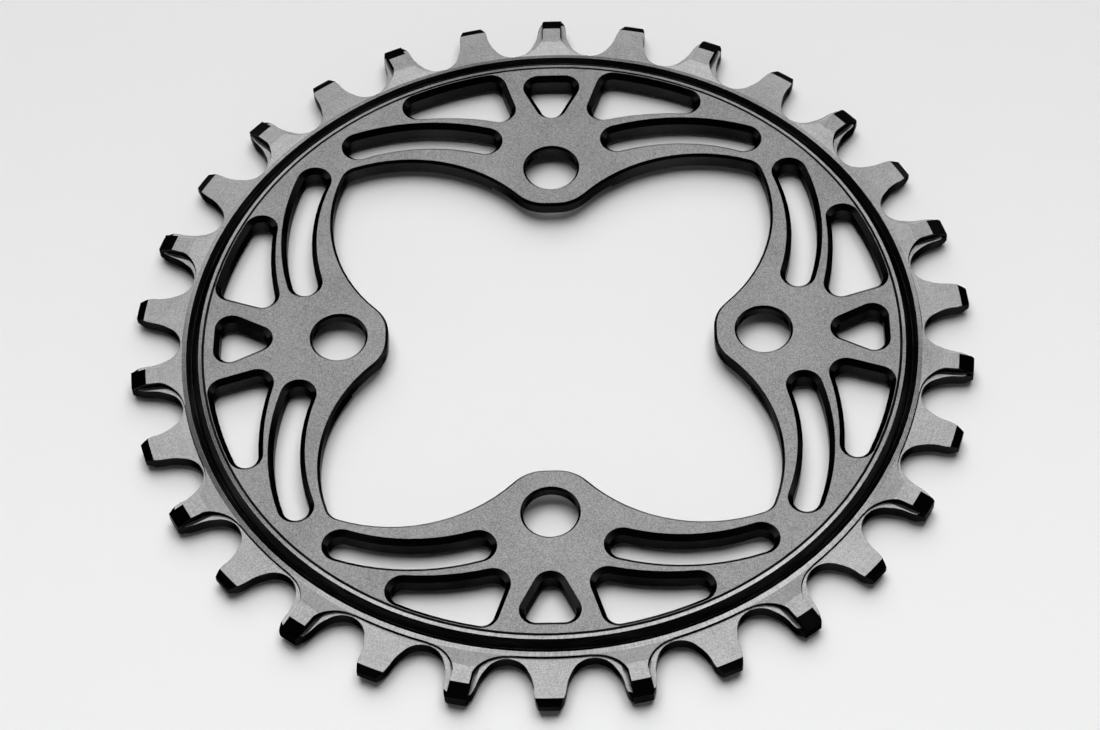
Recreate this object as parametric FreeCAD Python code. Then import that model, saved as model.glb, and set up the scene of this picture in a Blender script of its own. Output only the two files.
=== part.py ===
import FreeCAD, Part
import math
import os

# Single chainring with alternating narrow and wide teeth and four bolt tabs.
# Millimetres. The axis is +Z through the origin, the underside rests on z = 0,
# and one bolt tab and one wide tooth lie on +Y.

V = FreeCAD.Vector
ORIGIN = V(0, 0, 0)
AXIS = V(0, 0, 1)

# Chain and bolt pattern
tooth_count = 30
chain_pitch = 12.7
bolt_count = 4
bolt_circle_d = 64.0
bolt_hole_d = 8.1
bolt_hole_chamfer = 0.35

# Thicknesses. Every depth below is measured down from the top of the web
total_t = 3.7
wide_t = 3.4
narrow_t = 1.9
web_t = 2.9
tab_t = 2.0
tooth_mid_depth = 2.0

# Turned rings from the web's edge out to the teeth: (run outside the web's edge, depth)
rim_width = 8.43
groove_bottom = (0.20, 0.20)
crest_inner = (0.39, 0.03)
crest_outer = (0.88, 0.14)
valley_bottom = (1.98, 1.15)
shoulder_inner = (2.76, 0.48)
shoulder_outer = (3.43, 0.64)
step_run = 0.12
rib_run = 0.85
rib_width = 1.45
rib_chamfer = 0.8

# Tooth form. Heights are measured from the pitch circle, widths from the tooth's middle
tip_height = 2.65
narrow_bevel_run = 1.20
narrow_bevel_drop = 0.45
wide_bevel_run = 2.28
wide_bevel_drop = 0.85
root_depth = 4.65
root_arc_r = 3.4
root_arc_sweep = 63.0
flank_mid = (2.46, -1.30)
flank_waist = (2.27, -0.15)
flank_upper_height = 1.25
drive_half_w = (2.18, 1.66)
trail_half_w = (1.96, 1.28)

# Raised pad of a wide tooth and the sloping lip on each side of it
pad_ramp_run = 2.55
pad_half_w = 1.38
pad_draft = 0.2
pad_root_r = 5.2
lip_inner = (1.60, 1.15)
lip_outer = (2.40, 1.00)
lip_start_depth = 3.9

# Central opening and bolt tabs
opening_chamfer = 0.4
tab_reach = 7.04
tab_flat_half = 0.9
tab_corner_r = 5.75
arch_centre = (22.65, 9.91)
arch_r = 24.34
arch_corner_r = 3.0
seat_r = 9.6

# Lightening pockets beside each bolt tab: u runs across the tab, v outwards along it
pocket_chamfer = 0.8
slot_centre = (19.5, 6.9)
slot_mid_r = 32.03
slot_half_w = 2.75
slot_end_u = (10.40, 30.27)
pocket_land = 0.07
pocket_inner_centre = (17.59, 3.76)
pocket_inner_r = 38.65
pocket_corner_r = 2.65
pocket_inner_u = 8.25
pocket_outer_u = 9.77
window_land = 1.42
window_corner_r = 2.5
window_apex_v = 41.95
window_base_u = 1.98

# Derived sizes
tooth_step = 360.0 / tooth_count
tab_step = 360.0 / bolt_count
bolt_circle_r = bolt_circle_d / 2
tab_end_r = bolt_circle_r - tab_reach
pitch_r = chain_pitch / (2 * math.sin(math.radians(tooth_step / 2)))
tip_r = pitch_r + tip_height
root_bottom_r = pitch_r - root_depth
web_edge_r = pitch_r - rim_width
shoulder_r = web_edge_r + shoulder_outer[0]
pocket_outer_r = web_edge_r - pocket_land
z_top = total_t
z_mid = z_top - tooth_mid_depth
z_web = z_top - web_t
z_seat = z_top - tab_t

# How far cutters run past the solid that they cut
over = 1.0
blank_inner_r = tab_end_r - 5 * over
reach = tip_r + 4 * over


def polar(radius, degrees):
    """Point in the plane from a radius and an angle."""
    a = math.radians(degrees)
    return radius * math.cos(a), radius * math.sin(a)


def left_meeting_point(c1, d1, c2, d2):
    """Point at distance d1 from c1 and d2 from c2, on the left of the way from c1 to c2."""
    dx, dy = c2[0] - c1[0], c2[1] - c1[1]
    d = math.hypot(dx, dy)
    along = (d1 * d1 - d2 * d2 + d * d) / (2 * d)
    off = math.sqrt(d1 * d1 - along * along)
    return c1[0] + (along * dx - off * dy) / d, c1[1] + (along * dy + off * dx) / d


def round_loop(circles, grow=0.0, z=0.0):
    """Closed wire at height z round circles (x, y, r); r > 0 turns left, r < 0 right.

    Neighbours that touch are joined at the touching point, others by a straight line.
    Adding grow to every radius gives the same outline moved outwards by grow.
    """
    circles = [(x, y, r + grow) for x, y, r in circles]
    joints = []
    count = len(circles)
    for i in range(count):
        x1, y1, r1 = circles[i]
        x2, y2, r2 = circles[(i + 1) % count]
        dx, dy = x2 - x1, y2 - y1
        ratio = (r1 - r2) / math.hypot(dx, dy)
        if abs(ratio) > 1 - 1e-6:
            ratio = math.copysign(1.0, ratio)
        heading = math.atan2(dy, dx) + math.asin(ratio)
        nx, ny = math.sin(heading), -math.cos(heading)
        joints.append((V(x1 + r1 * nx, y1 + r1 * ny, z), V(x2 + r2 * nx, y2 + r2 * ny, z)))
    edges = []
    for i in range(count):
        x, y, r = circles[i]
        start, leave = joints[i - 1][1], joints[i][0]
        a0 = math.atan2(start.y - y, start.x - x)
        a1 = math.atan2(leave.y - y, leave.x - x)
        if r > 0 and a1 <= a0:
            a1 += 2 * math.pi
        if r < 0 and a1 >= a0:
            a1 -= 2 * math.pi
        half = (a0 + a1) / 2
        middle = V(x + abs(r) * math.cos(half), y + abs(r) * math.sin(half), z)
        edges.append(Part.Arc(start, middle, leave).toShape())
        if leave.distanceToPoint(joints[i][1]) > 1e-3:
            edges.append(Part.makeLine(leave, joints[i][1]))
        else:
            joints[i] = (leave, leave)
    return Part.Wire(Part.__sortEdges__(edges))


def prism(wire, z0, z1):
    """Solid between two heights over a flat closed wire."""
    solid = Part.Face(wire).extrude(V(0, 0, z1 - z0))
    solid.translate(V(0, 0, z0))
    return solid


def through_cutter(outline, top_chamfer, bottom_chamfer=0.0, z_bottom=0.0):
    """Cutter for an opening whose top edge, chamfer included, is the outline of circles."""
    past = 0.2 * over

    def flare(chamfer, z_face, direction):
        # 45 degree flare from the wall out past the face that it bevels
        return Part.makeLoft([round_loop(outline, -top_chamfer, z_face - direction * chamfer),
                              round_loop(outline, chamfer + past - top_chamfer,
                                         z_face + direction * past)], True, True)

    wall = prism(round_loop(outline, -top_chamfer), -over, z_top + over)
    flares = [flare(top_chamfer, z_top, 1)]
    if bottom_chamfer:
        flares.append(flare(bottom_chamfer, z_bottom, -1))
    return wall.multiFuse(flares)


def turned(points):
    """Solid of revolution about the axis from (radius, height) corners."""
    wire = Part.makePolygon([V(r, 0, z) for r, z in points + points[:1]])
    return Part.Face(wire).revolve(ORIGIN, AXIS, 360)


def spin(shape, degrees):
    """Copy of a shape turned about the axis."""
    copy = shape.copy()
    copy.rotate(ORIGIN, AXIS, degrees)
    return copy


def around(shape, step, count, first=0.0):
    """List of copies of a shape at equal steps about the axis."""
    return [spin(shape, first + i * step) for i in range(count)]


def web_disc():
    """Flat disc inside the turned rings, before its openings are cut."""
    return turned([(blank_inner_r, z_top), (web_edge_r, z_top), (web_edge_r, z_web),
                   (blank_inner_r, z_web)])


def rim_ring():
    """Turned rings and the narrow disc that carries every tooth."""
    narrow_top, narrow_low = z_mid + narrow_t / 2, z_mid - narrow_t / 2
    rings = [(web_edge_r + run, z_top - depth) for run, depth in
             (groove_bottom, crest_inner, crest_outer, valley_bottom, shoulder_inner,
              shoulder_outer)]
    disc_start_r = shoulder_r + step_run
    bevel_r = tip_r - narrow_bevel_run
    rib_inner_r = web_edge_r + rib_run
    return turned(
        [(web_edge_r, z_top)] + rings
        + [(disc_start_r, narrow_top), (bevel_r, narrow_top),
           (tip_r, narrow_top - narrow_bevel_drop), (tip_r, narrow_low + narrow_bevel_drop),
           (bevel_r, narrow_low), (disc_start_r, narrow_low),
           (rib_inner_r + rib_width, 0.0), (rib_inner_r, 0.0),
           (rib_inner_r - rib_chamfer, z_web), (web_edge_r, z_web)])


def wide_ring():
    """Ring with the section of the wide teeth, cut into pads afterwards."""
    high, low = z_mid + wide_t / 2, z_mid - wide_t / 2
    rise = z_top - shoulder_outer[1]
    fall = 2 * z_mid - rise
    root_r, flat_r, bevel_r = shoulder_r - 0.75 * over, shoulder_r + pad_ramp_run, tip_r - wide_bevel_run
    return turned([(root_r, rise), (shoulder_r, rise), (flat_r, high), (bevel_r, high),
                   (tip_r, high - wide_bevel_drop), (tip_r, low + wide_bevel_drop),
                   (bevel_r, low), (flat_r, low), (shoulder_r, fall), (root_r, fall)])


def pad_block():
    """Block over one pad on +Y: straight sides that flare into the gullets.

    Its walls lean out with depth, alike above and below the middle of the tooth.
    """
    half_step = tooth_step / 2
    cx, cy = polar(shoulder_r + pad_root_r, 90 - half_step)
    half_z = wide_t / 2 + over
    lean_mid, lean_far = pad_draft * wide_t / 2, -pad_draft * over
    far_x = cx + pad_root_r
    start_y = shoulder_r - 2 * over

    corners = [V(pad_half_w + lean_far, start_y, z_mid - half_z),
               V(pad_half_w + lean_mid, start_y, z_mid),
               V(pad_half_w + lean_far, start_y, z_mid + half_z),
               V(far_x, start_y, z_mid + half_z), V(far_x, start_y, z_mid - half_z)]
    beside = Part.Face(Part.makePolygon(corners + corners[:1])).extrude(V(0, reach - start_y, 0))
    flares = [Part.makeCone(pad_root_r - lean_mid, pad_root_r - lean_far, half_z,
                            V(cx, cy, z_mid), V(0, 0, way)) for way in (1, -1)]
    beyond = Part.makeBox(far_x, reach - cy, 2 * half_z, V(0, cy, z_mid - half_z))
    side = flares[0].multiFuse([flares[1], beyond]).common(beside)

    sector = [V(*polar(r, 90 + a), 0) for r, a in
              ((start_y, -half_step), (reach, -half_step), (reach, half_step), (start_y, half_step))]
    block = prism(Part.makePolygon(sector + sector[:1]), z_mid - half_z, z_mid + half_z)
    return block.cut(side).cut(mirrored(side))


def lip_cutters():
    """Wedges that slope the narrow disc down towards both sides of the pad on +Y."""
    slope = (lip_inner[1] - lip_outer[1]) / (lip_outer[0] - lip_inner[0])
    start_x, end_x = lip_inner[0] - 0.4 * over, lip_outer[0] + 0.2 * over
    start_y = pitch_r - lip_start_depth
    wedges = []
    for flip in (1, -1):
        for side in (1, -1):
            def at(x, depth):
                return V(side * x, start_y, z_mid + flip * (tooth_mid_depth - depth))
            corners = [at(start_x, lip_inner[1] + slope * (lip_inner[0] - start_x)),
                       at(end_x, lip_outer[1] - slope * (end_x - lip_outer[0])),
                       at(end_x, -over), at(start_x, -over)]
            face = Part.Face(Part.makePolygon(corners + corners[:1]))
            wedges.append(face.extrude(V(0, reach - start_y, 0)))
    return wedges


def gullet_cutter():
    """Gap between two teeth, centred on +Y, with a drive side and a trail side."""
    half_step = tooth_step / 2

    def from_tooth(point, side):
        # side +1: tooth to the right of the gap, seen in that tooth's own frame
        x, y = -side * point[0], point[1]
        a = math.radians(-side * half_step)
        return V(x * math.cos(a) - y * math.sin(a), x * math.sin(a) + y * math.cos(a), 0)

    centre_y = root_bottom_r + root_arc_r
    a = math.radians(root_arc_sweep)
    root = {s: V(s * root_arc_r * math.sin(a), centre_y - root_arc_r * math.cos(a), 0)
            for s in (1, -1)}
    edges = [Part.Arc(root[-1], V(0, root_bottom_r, 0), root[1]).toShape()]
    outer = {}
    for side, (upper_w, tip_w) in ((1, trail_half_w), (-1, drive_half_w)):
        middle, waist, upper, tip = (
            from_tooth((w, pitch_r + h), side) for w, h in
            (flank_mid, flank_waist, (upper_w, flank_upper_height), (tip_w, tip_height)))
        outer[side] = from_tooth((tip_w - 0.8 * over, reach), side)
        edges += [Part.Arc(root[side], middle, waist).toShape(),
                  Part.Arc(waist, upper, tip).toShape(), Part.makeLine(tip, outer[side])]
    edges.append(Part.makeLine(outer[1], outer[-1]))
    return prism(Part.Wire(Part.__sortEdges__(edges)), -over, z_top + over)


def opening_outline():
    """Scalloped central opening: four tab ends joined by arches."""
    tab_y = tab_end_r + tab_corner_r
    # the arch is shifted along x so that it touches the tab corner exactly
    gap_y = tab_y - arch_centre[1]
    arch_x = tab_flat_half + math.sqrt((arch_r + tab_corner_r) ** 2 - gap_y ** 2)
    q_sum = arch_x + arch_centre[1]
    q_sq = arch_x ** 2 + arch_centre[1] ** 2 - (arch_r - arch_corner_r) ** 2
    q = (q_sum + math.sqrt(q_sum ** 2 - 2 * q_sq)) / 2
    quarter = [(-tab_flat_half, tab_y, -tab_corner_r), (-arch_x, arch_centre[1], arch_r),
               (-q, q, arch_corner_r), (-arch_centre[1], arch_x, arch_r),
               (-tab_y, tab_flat_half, -tab_corner_r)]
    circles = []
    for i in range(bolt_count):
        c, s = polar(1.0, i * tab_step)
        circles += [(x * c - y * s, x * s + y * c, r) for x, y, r in quarter]
    return circles


def slot_outline():
    """Curved slot to the right of the tab on +Y."""
    ends = [(u, slot_centre[1] + math.sqrt(slot_mid_r ** 2 - (u - slot_centre[0]) ** 2))
            for u in slot_end_u]
    return [(ends[1][0], ends[1][1], slot_half_w),
            (slot_centre[0], slot_centre[1], slot_mid_r + slot_half_w),
            (ends[0][0], ends[0][1], slot_half_w),
            (slot_centre[0], slot_centre[1], -(slot_mid_r - slot_half_w))]


def pocket_outline():
    """Large pocket between the slot and the rim, right of the tab on +Y."""
    inner_reach = pocket_inner_r + pocket_corner_r
    outer_reach = pocket_outer_r - pocket_corner_r
    tip = left_meeting_point((0, 0), outer_reach, pocket_inner_centre, inner_reach)
    inner_v = pocket_inner_centre[1] + math.sqrt(
        inner_reach ** 2 - (pocket_inner_u - pocket_inner_centre[0]) ** 2)
    outer_v = math.sqrt(outer_reach ** 2 - pocket_outer_u ** 2)
    return [(tip[0], tip[1], pocket_corner_r),
            (0.0, 0.0, pocket_outer_r),
            (pocket_outer_u, outer_v, pocket_corner_r),
            (pocket_inner_u, inner_v, pocket_corner_r),
            (pocket_inner_centre[0], pocket_inner_centre[1], -pocket_inner_r)]


def window_outline():
    """Rounded triangle on the centre line of the tab."""
    base_v = web_edge_r - window_land - window_corner_r
    return [(window_base_u, base_v, window_corner_r),
            (-window_base_u, base_v, window_corner_r),
            (0.0, window_apex_v + window_corner_r, window_corner_r)]


def bolt_cutter():
    """Bolt hole with a chamfer on both faces and the seat recess below."""
    r, c = bolt_hole_d / 2, bolt_hole_chamfer
    flare = c + 0.3 * over
    hole = Part.makeCylinder(r, total_t + 2 * over, V(0, bolt_circle_r, -over))
    top = Part.makeCone(r, r + flare, flare, V(0, bolt_circle_r, z_top - c))
    low = Part.makeCone(r + flare, r, flare, V(0, bolt_circle_r, z_seat + c - flare))
    seat = Part.makeCylinder(seat_r, z_seat + over, V(0, bolt_circle_r, -over))
    return hole.multiFuse([top, low, seat])


def mirrored(shape):
    """Mirror image across the tab centre line."""
    return shape.mirror(ORIGIN, V(1, 0, 0))


def toothed_rim():
    """Rim with its gullets cut and a raised pad on every second tooth."""
    wide_count = tooth_count // 2
    lips = [wedge for cutter in lip_cutters() for wedge in around(cutter, 2 * tooth_step, wide_count)]
    pads = around(pad_block(), 2 * tooth_step, wide_count)
    rim = rim_ring().cut(Part.makeCompound(lips))
    rim = rim.fuse(wide_ring().common(Part.makeCompound(pads)))
    gullets = around(gullet_cutter(), tooth_step, tooth_count, tooth_step / 2)
    return rim.cut(Part.makeCompound(gullets))


def pocketed_web():
    """Web with the pockets, the bolt holes and the central opening cut through it."""
    slot = through_cutter(slot_outline(), pocket_chamfer)
    pocket = through_cutter(pocket_outline(), pocket_chamfer)
    window = through_cutter(window_outline(), pocket_chamfer)
    web = web_disc()
    for tool in (slot, mirrored(slot), pocket, mirrored(pocket), window, bolt_cutter()):
        web = web.cut(Part.makeCompound(around(tool, tab_step, bolt_count)))
    return web.cut(through_cutter(opening_outline(), opening_chamfer, opening_chamfer, z_web))


def chainring():
    """Whole part as one solid."""
    return pocketed_web().fuse(toothed_rim()).removeSplitter()


os.makedirs("parts", exist_ok=True)
ring = chainring()
if len(ring.Solids) == 1:
    ring = ring.Solids[0]
ring.exportStep("parts/chainring.step")
box = ring.BoundBox
print("solids", len(ring.Solids), "valid", ring.isValid(), "volume", round(ring.Volume, 1))
print("size", round(box.XLength, 3), round(box.YLength, 3), round(box.ZLength, 3),
      "pitch radius", round(pitch_r, 3))
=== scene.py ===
"""Looks, light and camera for a one-piece bicycle chainring.

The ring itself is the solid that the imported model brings. This file dresses it in
black anodised aluminium, whose finish changes with the tool that cut each region,
and sets it on a pale studio floor.
"""

import logging
import math
from collections.abc import Sequence
from dataclasses import dataclass
from enum import Enum

import bpy
import numpy as np
from mathutils import Matrix, Vector

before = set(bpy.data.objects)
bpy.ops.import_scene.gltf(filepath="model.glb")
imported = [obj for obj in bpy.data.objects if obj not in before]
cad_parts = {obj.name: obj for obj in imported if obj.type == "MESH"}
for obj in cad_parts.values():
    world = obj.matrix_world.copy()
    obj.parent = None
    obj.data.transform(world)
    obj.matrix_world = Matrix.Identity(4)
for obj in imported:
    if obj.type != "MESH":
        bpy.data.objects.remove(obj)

log = logging.getLogger("chainring_scene")

MM = 0.001
IMAGE_WIDTH = 1100
NOISE_MEAN = 0.5
WHITE = (1.0, 1.0, 1.0, 1.0)

Socket = bpy.types.NodeSocket
Value = Socket | float
Triple = tuple[float, float, float]
Span = tuple[float, float]


class Op(Enum):
    """Math node operations, under the words that the finishes use for them."""

    ADD = "ADD"
    SUBTRACT = "SUBTRACT"
    MULTIPLY = "MULTIPLY"
    DIVIDE = "DIVIDE"
    ROOT = "SQRT"
    ABSOLUTE = "ABSOLUTE"
    ANGLE = "ARCTAN2"
    LARGER = "MAXIMUM"


class Shader:
    """Small builder that lays out the nodes of one material."""

    def __init__(self, name: str) -> None:
        """Start an empty material.

        Args:
            name: Name of the material.
        """
        self.material = bpy.data.materials.new(name)
        self.material.use_nodes = True
        self.tree = self.material.node_tree
        self.tree.nodes.clear()
        self.output = self.tree.nodes.new("ShaderNodeOutputMaterial")

    def add(self, kind: str, **settings: object) -> bpy.types.Node:
        """Add a node and set plain properties on it.

        Args:
            kind: Blender's type name of the node.
            **settings: Properties of the node, by name.

        Returns:
            The new node.
        """
        node = self.tree.nodes.new(kind)
        for key, value in settings.items():
            setattr(node, key, value)
        return node

    def feed(self, socket: Socket, value: Value | Sequence[float]) -> None:
        """Link a socket to another, or set its number or colour.

        Args:
            socket: The input to fill.
            value: An output socket, a number, or a sequence of numbers.
        """
        if isinstance(value, Socket):
            self.tree.links.new(value, socket)
        else:
            socket.default_value = value

    def place(self) -> Socket:
        """Give the coordinates in the object's own frame, in metres."""
        return self.add("ShaderNodeTexCoord").outputs["Object"]

    def split(self, vector: Socket) -> tuple[Socket, Socket, Socket]:
        """Part a vector into its x, y and z."""
        node = self.add("ShaderNodeSeparateXYZ")
        self.feed(node.inputs[0], vector)
        x, y, z = node.outputs
        return x, y, z

    def join(self, x: Value, y: Value, z: Value) -> Socket:
        """Make one vector of an x, a y and a z."""
        node = self.add("ShaderNodeCombineXYZ")
        for socket, value in zip(node.inputs, (x, y, z)):
            self.feed(socket, value)
        return node.outputs[0]

    def calc(self, op: Op, a: Value, b: Value = 0.0, clamp: bool = False) -> Socket:
        """Combine two values with one math node.

        Args:
            op: The operation.
            a: First value or socket.
            b: Second value or socket.
            clamp: Whether the result is held between 0 and 1.

        Returns:
            The result's socket.
        """
        node = self.add("ShaderNodeMath", operation=op.value, use_clamp=clamp)
        self.feed(node.inputs[0], a)
        self.feed(node.inputs[1], b)
        return node.outputs[0]

    def swing(self, pattern: Socket, share: Value) -> Socket:
        """Scale a noise pattern about its mean, so that the result is about 0.

        Args:
            pattern: The pattern, about NOISE_MEAN.
            share: Its factor.

        Returns:
            The scaled pattern's socket.
        """
        return self.calc(Op.MULTIPLY, self.calc(Op.SUBTRACT, pattern, NOISE_MEAN), share)

    def ramp(self, value: Socket, start: float, end: float) -> Socket:
        """Step smoothly from 0 at start to 1 at end, whichever of the two is larger.

        Args:
            value: Socket to compare.
            start: Value that gives 0.
            end: Value that gives 1.

        Returns:
            The step's socket.
        """
        node = self.add("ShaderNodeMapRange", interpolation_type="SMOOTHSTEP", clamp=True)
        self.feed(node.inputs["Value"], value)
        rising = end > start
        node.inputs["From Min"].default_value = min(start, end)
        node.inputs["From Max"].default_value = max(start, end)
        node.inputs["To Min"].default_value = 0.0 if rising else 1.0
        node.inputs["To Max"].default_value = 1.0 if rising else 0.0
        return node.outputs["Result"]

    def band(self, value: Socket, low: float, high: float, soft: float) -> Socket:
        """Give 1 between two values and 0 outside them, with soft ends.

        Args:
            value: Socket to compare.
            low: Lower end.
            high: Upper end.
            soft: Half the width of each soft end.

        Returns:
            The mask's socket.
        """
        rise = self.ramp(value, low - soft, low + soft)
        fall = self.ramp(value, high + soft, high - soft)
        return self.calc(Op.MULTIPLY, rise, fall)

    def blend_numbers(self, share: Value, a: Value, b: Value) -> Socket:
        """Blend two numbers.

        A Mix node's sockets share their names, so they are told apart by place.

        Args:
            share: 0 gives a, 1 gives b.
            a: First value.
            b: Second value.

        Returns:
            The blend's socket.
        """
        node = self.add("ShaderNodeMix", data_type="FLOAT", clamp_factor=True)
        for place, value in zip((0, 2, 3), (share, a, b)):
            self.feed(node.inputs[place], value)
        return node.outputs[0]

    def blend_colours(self, share: Value, a: Triple, b: Triple) -> Socket:
        """Blend two colours.

        Args:
            share: 0 gives a, 1 gives b.
            a: First colour.
            b: Second colour.

        Returns:
            The blend's socket.
        """
        node = self.add("ShaderNodeMix", data_type="RGBA")
        for place, value in zip((0, 6, 7), (share, (*a, 1.0), (*b, 1.0))):
            self.feed(node.inputs[place], value)
        return node.outputs[2]

    def noise(self, place: Socket, scale: float, detail: float, roughness: float) -> Socket:
        """Make fractal noise between about 0 and 1.

        Args:
            place: Socket with the coordinates.
            scale: Cells per metre, or per unit of the coordinates.
            detail: Octaves.
            roughness: Share of each next octave.

        Returns:
            The noise's socket.
        """
        node = self.add("ShaderNodeTexNoise")
        self.feed(node.inputs["Vector"], place)
        node.inputs["Scale"].default_value = scale
        node.inputs["Detail"].default_value = detail
        node.inputs["Roughness"].default_value = roughness
        return node.outputs["Fac"]


class Trait(Enum):
    """What a tool's finish is described by, as the names of its fields."""

    TONE = "tone"
    ROUGHNESS = "roughness"
    GRAIN = "grain"
    RINGS = "rings"
    ARCS = "arcs"
    EDGE = "edge"


@dataclass(frozen=True)
class Tool:
    """What one cutting or blasting tool leaves on the metal.

    Attributes:
        tone: Mean tone between the darkest and the lightest dye.
        roughness: Roughness of the anodised surface.
        grain: Share of the blasted grain in its tone and relief.
        rings: Share of the turning rings.
        arcs: Share of the milling arcs.
        edge: Share of the metal's mirror that is left at grazing angles.
    """

    tone: float
    roughness: float
    grain: float
    rings: float
    arcs: float
    edge: float

    def value(self, trait: Trait) -> float:
        """Give the number of one trait."""
        return getattr(self, trait.value)


Regions = list[tuple[Tool, Socket]]


@dataclass(frozen=True)
class AnodisedFinish:
    """Black anodised aluminium as each tool left it; lengths in metres.

    The web is bead blasted to a fine even grain. The rim is turned, so it carries rings
    about the axis, and its valley is turned coarsely. The teeth are turned and then
    milled, so arcs of the mill cross the rings. Chamfers and bevels are smooth cuts. The
    near-black tone of cuts, the valley and walls, and their weaker mirror at grazing
    angles than on level faces, are painted shade, in place of the dark and shadowed
    surroundings that they mirror.

    Attributes:
        top: Height of the web's upper face.
        web_edge: Radius at which the blasted web ends.
        tooth_start: Radius at which the milled teeth start.
        border: Half the width over which one tool's finish gives way to the next.
        level: Upright part of the normal from which a face begins to count as level, and
            from which it does in full.
        slant: Lowest and highest upright part of a slanted face's normal.
        slant_soft: Half the width of the soft ends of that range.
        dark: Darkest dye.
        light: Lightest dye.
        blasted: The web's finish.
        turned: The rim's finish.
        milled: The teeth's finish.
        cut: The finish of chamfers and bevels; its dark tone and weak grazing mirror are
            painted shade.
        groove_painted_shade: The finish of the rim's valley; its dark tone and weak grazing
            mirror are painted shade.
        wall_painted_shade: The finish of upright faces; its dark tone and weak grazing mirror
            are painted shade.
        grain_size: Size of the blasted grain.
        ring_pitch: Distance between two turning rings.
        ring_drift: Changes along a ring, per radian.
        arc_pitch: Distance between two milling arcs.
        arc_radius: Radius of the mill.
        arc_level: Distance past the teeth's start at which the pitch of the arcs holds.
        arc_drift: Changes along an arc, per metre.
        cloud_rate: Slow clouds of tone per metre.
        cloud_tone: Share of the clouds in the tone.
        cloud_roughness: Share of the clouds in the roughness.
        relief: Strength of the marks' relief.
        relief_height: Height of the marks' relief.
        edge_round: Radius by which sharp edges look broken.
        edge_samples: Samples that look for an edge.
    """

    top: float = 3.7 * MM
    web_edge: float = 52.35 * MM
    tooth_start: float = 55.8 * MM
    border: float = 0.04 * MM
    level: Span = (0.955, 0.965)
    slant: Span = (0.55, 0.952)
    slant_soft: float = 0.01
    dark: Triple = (0.0150, 0.0150, 0.0152)
    light: Triple = (0.2060, 0.2060, 0.2075)
    blasted: Tool = Tool(tone=0.49, roughness=0.42, grain=1.90,
                         rings=0.0, arcs=0.0, edge=0.80)
    turned: Tool = Tool(tone=0.71, roughness=0.25, grain=0.60,
                        rings=0.50, arcs=0.70, edge=0.80)
    milled: Tool = Tool(tone=0.57, roughness=0.29, grain=1.50,
                        rings=0.26, arcs=0.28, edge=0.80)
    # the low tone and edge of cuts, the valley and walls are painted shade, in place of the
    # dark surroundings that they mirror
    cut: Tool = Tool(tone=0.065, roughness=0.12, grain=0.10,
                     rings=0.12, arcs=0.0, edge=0.35)
    groove_painted_shade: Tool = Tool(tone=0.05, roughness=0.30, grain=0.40,
                        rings=0.60, arcs=0.0, edge=0.35)
    wall_painted_shade: Tool = Tool(tone=0.055, roughness=0.24, grain=0.20,
                      rings=0.0, arcs=0.0, edge=0.35)
    grain_size: float = 0.145 * MM
    ring_pitch: float = 0.26 * MM
    ring_drift: float = 9.0
    arc_pitch: float = 0.34 * MM
    arc_radius: float = 9.5 * MM
    arc_level: float = 3.0 * MM
    arc_drift: float = 500.0
    cloud_rate: float = 90.0
    cloud_tone: float = 0.35
    cloud_roughness: float = 0.08
    relief: float = 0.3
    relief_height: float = 0.02 * MM
    edge_round: float = 0.06 * MM
    edge_samples: int = 4

    def build(self) -> bpy.types.Material:
        """Make the material.

        Returns:
            The finished material.
        """
        s = Shader("black_anodised_aluminium")
        place = s.place()
        x, y, z = s.split(place)
        radius = s.calc(Op.ROOT, s.calc(Op.ADD, s.calc(Op.MULTIPLY, x, x),
                                        s.calc(Op.MULTIPLY, y, y)))
        around = s.calc(Op.ANGLE, y, x)
        normal = s.split(s.add("ShaderNodeNewGeometry").outputs["True Normal"])
        flat = s.calc(Op.ABSOLUTE, normal[2])

        regions = self.regions(s, radius, flat)
        grain = s.noise(place, 1.0 / self.grain_size, detail=3.0, roughness=0.7)
        slow = s.noise(place, self.cloud_rate, detail=3.0, roughness=0.5)
        marks = s.calc(
            Op.ADD, s.swing(grain, self.blend(s, regions, Trait.GRAIN)), s.calc(
                Op.ADD, s.swing(self.rings(s, radius, around, z),
                                self.blend(s, regions, Trait.RINGS)),
                s.swing(self.arcs(s, radius, around), self.blend(s, regions, Trait.ARCS))))

        # colour: each tool's tone, moved by its marks and by slow clouds
        # the near-black tones of cuts, the valley and walls are painted shade
        tone = s.calc(Op.ADD, s.calc(Op.ADD, marks, s.swing(slow, self.cloud_tone)),
                      self.blend(s, regions, Trait.TONE), clamp=True)
        colour = s.blend_colours(tone, self.dark, self.light)

        # roughness: each tool's own, a little uneven
        rough = s.calc(Op.ADD, self.blend(s, regions, Trait.ROUGHNESS),
                       s.swing(slow, self.cloud_roughness))

        skin = s.add("ShaderNodeBsdfPrincipled")
        s.feed(skin.inputs["Base Color"], colour)
        skin.inputs["Metallic"].default_value = 1.0
        # the weak grazing mirror on cuts, the valley and walls is painted shade
        s.feed(skin.inputs["Specular Tint"], self.blend(s, regions, Trait.EDGE))
        s.feed(skin.inputs["Roughness"], rough)
        s.feed(skin.inputs["Normal"], self.relieved(s, marks))
        s.feed(s.output.inputs["Surface"], skin.outputs[0])
        return s.material

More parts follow.
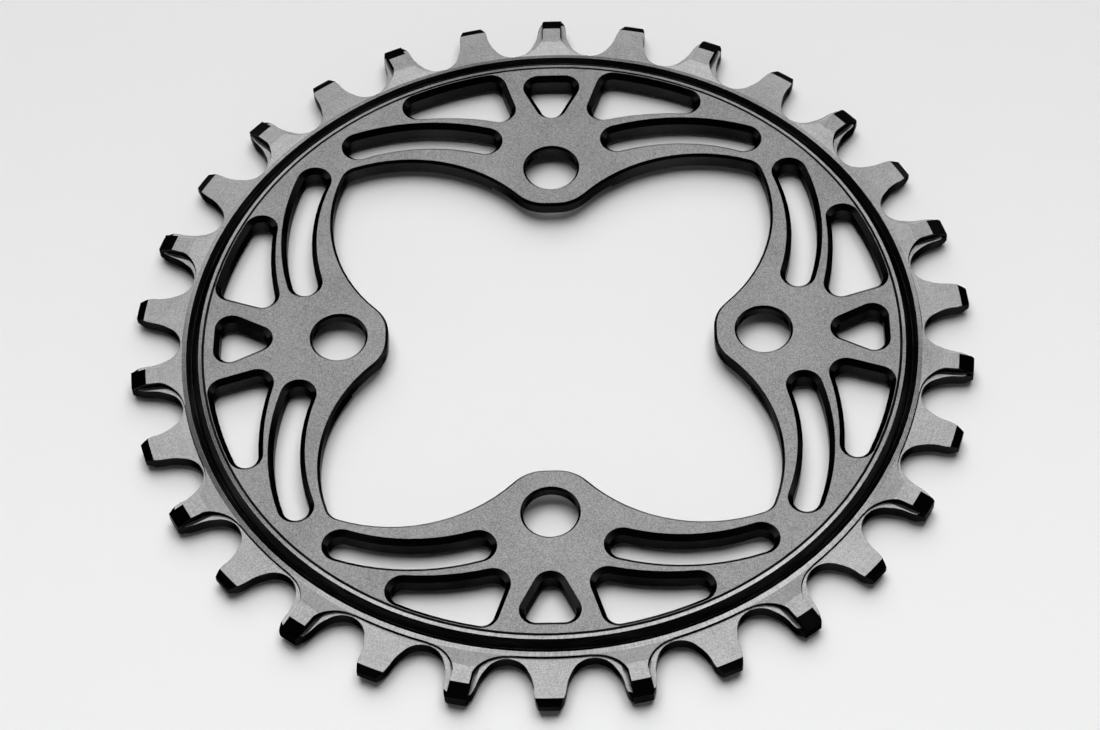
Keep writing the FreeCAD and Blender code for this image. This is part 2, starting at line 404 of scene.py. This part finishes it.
    def regions(self, s: Shader, radius: Socket, flat: Socket) -> Regions:
        """Find where each tool worked.

        Level faces are blasted inside the web's edge, turned on the rim and milled on the
        teeth. Chamfers and the teeth's bevels are cut, the rim's valley is turned coarsely,
        and upright faces are walls. Cuts, the valley and walls are where painted shade
        darkens the finish.

        Args:
            s: The shader.
            radius: Distance from the axis.
            flat: Size of the normal's upright part.

        Returns:
            Every tool but the wall's, which lies under the others, with its mask. A later
            one covers an earlier one.
        """
        level = s.ramp(flat, *self.level)
        past_web = s.ramp(radius, self.web_edge - self.border, self.web_edge + self.border)
        on_teeth = s.ramp(radius, self.tooth_start - self.border,
                          self.tooth_start + self.border)
        on_web = s.calc(Op.SUBTRACT, 1.0, past_web)
        on_rim = s.calc(Op.SUBTRACT, past_web, on_teeth)
        slanted = s.band(flat, *self.slant, self.slant_soft)
        return [
            (self.cut, slanted),
            (self.groove_painted_shade, s.calc(Op.MULTIPLY, slanted, on_rim)),
            (self.blasted, s.calc(Op.MULTIPLY, level, on_web)),
            (self.turned, s.calc(Op.MULTIPLY, level, on_rim)),
            (self.milled, s.calc(Op.MULTIPLY, level, on_teeth)),
        ]

    def blend(self, s: Shader, regions: Regions, trait: Trait) -> Socket:
        """Lay each tool's value of one trait over the wall's.

        Args:
            s: The shader.
            regions: The tools and where they worked.
            trait: The trait.

        Returns:
            The trait over the whole part.
        """
        value: Value = self.wall_painted_shade.value(trait)
        for tool, mask in regions:
            value = s.blend_numbers(mask, value, tool.value(trait))
        return value

    def rings(self, s: Shader, radius: Socket, around: Socket, z: Socket) -> Socket:
        """Lay out the turning rings, which follow the radius and the height.

        Args:
            s: The shader.
            radius: Distance from the axis.
            around: Angle about the axis.
            z: Height.

        Returns:
            The rings, about NOISE_MEAN.
        """
        place = s.join(s.calc(Op.DIVIDE, radius, self.ring_pitch),
                       s.calc(Op.MULTIPLY, around, self.ring_drift),
                       s.calc(Op.DIVIDE, z, self.ring_pitch))
        return s.noise(place, 1.0, detail=2.0, roughness=0.6)

    def arcs(self, s: Shader, radius: Socket, around: Socket) -> Socket:
        """Lay out the milling arcs.

        An arc follows r0 a + sqrt(c^2 - (r - r1)^2), where r is the radius, a the angle
        about the axis, r1 the radius where the teeth start, r0 the radius at which the
        pitch holds and c the mill's radius.

        Args:
            s: The shader.
            radius: Distance from the axis.
            around: Angle about the axis.

        Returns:
            The arcs, about NOISE_MEAN.
        """
        past_start = s.calc(Op.SUBTRACT, radius, self.tooth_start)
        chord = s.calc(Op.SUBTRACT, self.arc_radius ** 2,
                       s.calc(Op.MULTIPLY, past_start, past_start))
        sweep = s.calc(Op.ADD, s.calc(Op.MULTIPLY, around, self.tooth_start + self.arc_level),
                       s.calc(Op.ROOT, chord))
        place = s.join(s.calc(Op.DIVIDE, sweep, self.arc_pitch),
                       s.calc(Op.MULTIPLY, radius, self.arc_drift), 0.0)
        return s.noise(place, 1.0, detail=2.0, roughness=0.6)

    def relieved(self, s: Shader, marks: Socket) -> Socket:
        """Give the normal with the marks' relief, over edges that are broken by a hair.

        Args:
            s: The shader.
            marks: Height of the marks, about 0.

        Returns:
            The normal's socket.
        """
        rounded = s.add("ShaderNodeBevel", samples=self.edge_samples)
        rounded.inputs["Radius"].default_value = self.edge_round
        bump = s.add("ShaderNodeBump")
        bump.inputs["Strength"].default_value = self.relief
        bump.inputs["Distance"].default_value = self.relief_height
        s.feed(bump.inputs["Height"], marks)
        s.feed(bump.inputs["Normal"], rounded.outputs[0])
        return bump.outputs[0]


@dataclass
class Chainring:
    """The machined ring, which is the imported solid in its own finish."""

    node: str = "chainring"
    finish: AnodisedFinish = AnodisedFinish()

    def dress(self) -> bpy.types.Object:
        """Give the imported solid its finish.

        Returns:
            The dressed object.
        """
        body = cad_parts[self.node]
        body.data.materials.clear()
        body.data.materials.append(self.finish.build())
        return body


@dataclass(frozen=True)
class FloorFinish:
    """Matt pale sheet that brightens towards the front.

    Far in front of the ring, where the lamps fall off, it also glows a little where it is
    seen directly or mirrored, so that it stays pale in other views.

    Attributes:
        near: Colour in front of the ring.
        far_painted_shade: Colour behind the ring; the sheet's darkening from front to back is
            painted shade.
        reach: Distance from the axis at which each colour is reached, in metres.
        roughness: Roughness of the sheet.
        glow: Strength of the glow.
        glow_span: Places along Y where the glow begins and where it is full, in metres.
    """

    near: Triple = (0.88, 0.88, 0.88)
    far_painted_shade: Triple = (0.64, 0.64, 0.64)
    reach: float = 0.11
    roughness: float = 0.6
    glow: float = 0.40
    glow_span: Span = (-0.10, -0.60)

    def build(self) -> bpy.types.Material:
        """Make the material.

        Returns:
            The finished material.
        """
        s = Shader("pale_sheet")
        y = s.split(s.place())[1]
        sheet = s.add("ShaderNodeBsdfPrincipled")
        # painted shade: the sheet's colour darkens from the front to behind the ring
        depth = s.ramp(y, -self.reach, self.reach)
        s.feed(sheet.inputs["Base Color"], s.blend_colours(depth, self.near, self.far_painted_shade))
        sheet.inputs["Roughness"].default_value = self.roughness
        path = s.add("ShaderNodeLightPath").outputs
        seen = s.calc(Op.LARGER, path["Is Camera Ray"],
                      s.calc(Op.LARGER, path["Is Glossy Ray"], path["Is Transmission Ray"]))
        away = s.calc(Op.MULTIPLY, s.ramp(y, *self.glow_span), self.glow)
        sheet.inputs["Emission Color"].default_value = WHITE
        s.feed(sheet.inputs["Emission Strength"], s.calc(Op.MULTIPLY, seen, away))
        s.feed(s.output.inputs["Surface"], sheet.outputs[0])
        return s.material


@dataclass
class Floor:
    """Pale floor with a curved rise behind; lengths in metres.

    Attributes:
        front: Distance from the axis to the front edge.
        half_width: Half the width along X.
        sweep_start: Distance from the axis at which the rise begins.
        sweep_radius: Radius of the rise.
        sweep_points: Points along the rise.
        gap: Distance that keeps the sheet clear of the ring's underside.
        finish: The sheet's finish.
    """

    front: float = 1.6
    half_width: float = 2.4
    sweep_start: float = 1.2
    sweep_radius: float = 0.9
    sweep_points: int = 24
    gap: float = 0.00002
    finish: FloorFinish = FloorFinish()

    def build(self) -> bpy.types.Object:
        """Build the floor as one sheet.

        The sheet is a profile carried along X. Its height is 0 up to the sweep, and past
        it follows a quarter circle: z = R - R cos(t), y = start + R sin(t).

        Returns:
            The floor object.
        """
        t = np.linspace(0.0, math.pi / 2, self.sweep_points)
        y = np.concatenate([[-self.front], self.sweep_start + self.sweep_radius * np.sin(t)])
        z = np.concatenate([[0.0], self.sweep_radius * (1 - np.cos(t))]) - self.gap
        x = np.array([-self.half_width, self.half_width])
        points = np.stack([np.repeat(x, len(y)), np.tile(y, 2), np.tile(z, 2)], axis=1)
        i = np.arange(len(y) - 1)
        faces = np.stack([i, i + len(y), i + len(y) + 1, i + 1], axis=1)
        mesh = bpy.data.meshes.new("pale_floor")
        mesh.from_pydata(points.tolist(), [], faces.tolist())
        mesh.shade_smooth()
        sheet = bpy.data.objects.new("pale_floor", mesh)
        bpy.context.scene.collection.objects.link(sheet)
        mesh.materials.append(self.finish.build())
        return sheet


@dataclass(frozen=True)
class Softbox:
    """Rectangular lamp that faces the ring, with its long side level.

    Attributes:
        name: Name of the lamp.
        azimuth: Degrees from +Y towards +X.
        elevation: Degrees above the floor.
        distance: Metres from the ring.
        size: Width and height in metres.
        radiance: Brightness of the lamp's face, where 1 is white.
    """

    name: str
    azimuth: float
    elevation: float
    distance: float
    size: Span
    radiance: float

    def build(self) -> bpy.types.Object:
        """Add the lamp. A flat lamp of area A gives the radiance L at the power pi A L.

        Returns:
            The lamp object.
        """
        a, e = math.radians(self.azimuth), math.radians(self.elevation)
        away = Vector((math.sin(a) * math.cos(e), math.cos(a) * math.cos(e), math.sin(e)))
        level = Vector((1.0, 0.0, 0.0))
        level = (level - away * level.dot(away)).normalized()
        turn = Matrix((level, away.cross(level), away)).transposed().to_4x4()
        lamp = bpy.data.lights.new(self.name, "AREA")
        lamp.shape = "RECTANGLE"
        lamp.size, lamp.size_y = self.size
        lamp.energy = math.pi * self.size[0] * self.size[1] * self.radiance
        box = bpy.data.objects.new(self.name, lamp)
        box.matrix_world = Matrix.Translation(away * self.distance) @ turn
        bpy.context.scene.collection.objects.link(box)
        return box


@dataclass(frozen=True)
class Room:
    """Dim room around the ring, whose front and sides are paler near the horizon.

    With h the sine of the elevation, the level moves smoothly from the horizon's to the
    room's over the span of heights. With y the direction's share towards the rear, the
    horizon's own level moves from the front's to the rear's over the span of depths.

    Attributes:
        level: Level overhead.
        rear: Level of the horizon at the rear.
        front: Level of the horizon at the front and the sides.
        heights: Span of h.
        depths: Span of y.
    """

    level: float = 0.02
    rear: float = 0.03
    front: float = 0.60
    heights: Span = (0.15, 0.55)
    depths: Span = (0.15, 0.50)

    @staticmethod
    def fade(world: bpy.types.World, value: Socket, span: Span, ends: Span) -> Socket:
        """Turn a value into a level that moves smoothly between two ends.

        Args:
            world: The world that gets the node.
            value: Socket to follow.
            span: Lowest and highest value that matter.
            ends: Level at each of them.

        Returns:
            The level's socket.
        """
        node = world.node_tree.nodes.new("ShaderNodeMapRange")
        node.interpolation_type = "SMOOTHSTEP"
        world.node_tree.links.new(value, node.inputs["Value"])
        names = ("From Min", "From Max", "To Min", "To Max")
        for name, number in zip(names, (*span, *ends)):
            node.inputs[name].default_value = number
        return node.outputs["Result"]

    def build(self) -> bpy.types.World:
        """Make the world and put it into the scene.

        Returns:
            The world.
        """
        world = bpy.data.worlds.new("dim_room")
        world.use_nodes = True
        nodes, links = world.node_tree.nodes, world.node_tree.links
        split = nodes.new("ShaderNodeSeparateXYZ")
        links.new(nodes.new("ShaderNodeTexCoord").outputs["Generated"], split.inputs[0])
        horizon = self.fade(world, split.outputs[1], self.depths, (self.front, self.rear))
        level = self.fade(world, split.outputs[2], self.heights, (0.0, self.level))
        links.new(horizon, level.node.inputs["To Min"])
        back = nodes["Background"]
        back.inputs["Color"].default_value = WHITE
        links.new(level, back.inputs["Strength"])
        bpy.context.scene.world = world
        return world


@dataclass
class Studio:
    """What stands around the ring: the floor, two lamps and the room."""

    floor: Floor
    lamps: tuple[Softbox, ...] = (
        Softbox("softbox_overhead", azimuth=3.0, elevation=73.0, distance=1.0,
                size=(0.98, 0.68), radiance=4.5),
        Softbox("softbox_rear", azimuth=-1.0, elevation=38.0, distance=1.0,
                size=(1.26, 0.51), radiance=2.5),
    )
    room: Room = Room()

    def build(self) -> None:
        """Put up the floor, the lamps and the room."""
        self.floor.build()
        for lamp in self.lamps:
            lamp.build()
        self.room.build()


@dataclass(frozen=True)
class PhotoCamera:
    """Camera at the photograph's place, solved from the ring's edges.

    Attributes:
        place: Metres from the ring's axis, on the plane of the web's upper face.
        right: Direction of the image's right side.
        down: Direction of the image's lower side.
        ahead: Direction of view.
        focal_pixels: Focal length in pixels of the photograph.
        sensor: Width of the sensor in millimetres.
        clip: Nearest and farthest distance that is drawn, in metres.
    """

    place: Triple = (0.0140, -0.2810, 0.3854)
    right: Triple = (0.9994, 0.0017, -0.0354)
    down: Triple = (-0.0192, -0.8141, -0.5804)
    ahead: Triple = (-0.0298, 0.5807, -0.8136)
    focal_pixels: float = 3172.0
    sensor: float = 36.0
    clip: Span = (0.02, 20.0)

    def build(self, top: float) -> bpy.types.Object:
        """Create the camera and make it the scene's.

        Args:
            top: Height of the web's upper face above the floor.

        Returns:
            The camera object.
        """
        data = bpy.data.cameras.new("photo_camera")
        data.sensor_fit = "HORIZONTAL"
        data.sensor_width = self.sensor
        data.lens = self.focal_pixels / IMAGE_WIDTH * self.sensor
        data.clip_start, data.clip_end = self.clip
        camera = bpy.data.objects.new("photo_camera", data)
        right, down, ahead = (Vector(v).normalized()
                              for v in (self.right, self.down, self.ahead))
        turn = Matrix((right, -down, -ahead)).transposed().to_4x4()
        place = Vector(self.place) + Vector((0, 0, top))
        camera.matrix_world = Matrix.Translation(place) @ turn
        bpy.context.scene.collection.objects.link(camera)
        bpy.context.scene.camera = camera
        return camera


def main() -> None:
    """Dress the ring, set up the studio and the camera, and note the sizes."""
    logging.basicConfig(level=logging.INFO, format="%(name)s: %(message)s")
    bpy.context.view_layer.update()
    ring = Chainring()
    body = ring.dress()
    log.info("dressed %s with %d triangles", body.name, len(body.data.polygons))
    Studio(Floor()).build()
    PhotoCamera().build(ring.finish.top)
    bpy.context.scene.view_settings.view_transform = "Standard"
    log.info("studio and camera are in place")


if __name__ == "__main__":
    main()
